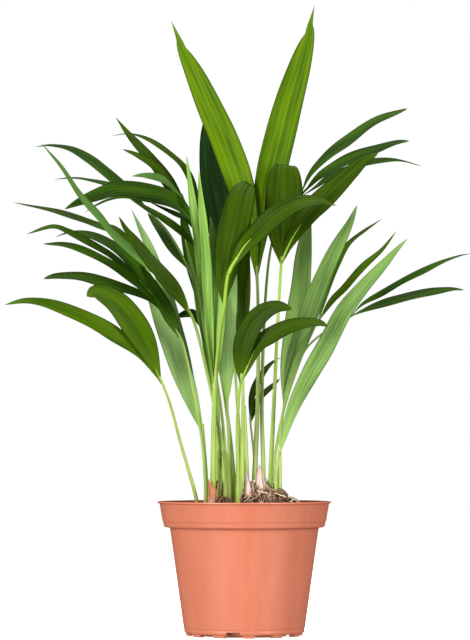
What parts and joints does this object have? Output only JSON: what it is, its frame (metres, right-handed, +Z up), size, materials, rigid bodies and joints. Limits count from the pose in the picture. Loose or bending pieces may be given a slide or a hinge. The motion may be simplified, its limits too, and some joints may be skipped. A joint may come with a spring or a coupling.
{
  "type": "potted palm",
  "caption": "Young areca palm clump in a round terracotta-coloured plastic nursery pot, with two-lobed and feathered leaves on slim green stalks",
  "frame": {"origin": "centre of the pot's flat underside, on the pot's axis", "axes": "+Z up along the pot's axis, -Y the front that the picture shows, +X to the right in it"},
  "size_m": [0.3247, 0.1276, 0.4481],
  "materials": {
    "pot_plastic": "satin",
    "potting_mix": "matte",
    "roots": "matte",
    "sheath_brown": "matte",
    "sheath_green": "satin",
    "sheath_pink": "matte",
    "leaf_young": "satin",
    "leaf_mature": "satin",
    "leaf_dark": "satin",
    "leaf_pale": "satin"
  },
  "bodies": {
    "root": {"pot": "pot_plastic", "potting_mix": "potting_mix", "root_crown": "roots", "root_lump": "roots", "frond_left_arching": "leaf_dark", "frond_left_back": "leaf_dark", "frond_left_lower": "leaf_dark", "frond_left_main": "leaf_mature", "frond_left_upper": "leaf_mature", "frond_right_low": "leaf_dark", "frond_right_slim": "leaf_mature", "frond_right_upper": "leaf_dark", "leaf_back_small": "leaf_dark", "leaf_centre": "leaf_mature", "leaf_front_small": "leaf_mature", "leaf_inner_green": "leaf_mature", "leaf_inner_pale": "leaf_pale", "leaf_left_broad": "leaf_pale", "leaf_left_low": "leaf_young", "leaf_narrow": "leaf_pale", "leaf_right": "leaf_mature", "leaf_right_broad": "leaf_pale", "leaf_right_upright": "leaf_pale", "leaf_shaded": "leaf_dark", "leaf_tall": "leaf_young", "sheath_left": "sheath_brown", "sheath_middle": "sheath_green", "scale_right": "sheath_pink", "scale_left": "sheath_pink", "stub_middle": "leaf_pale"}
  },
  "joints": []
}
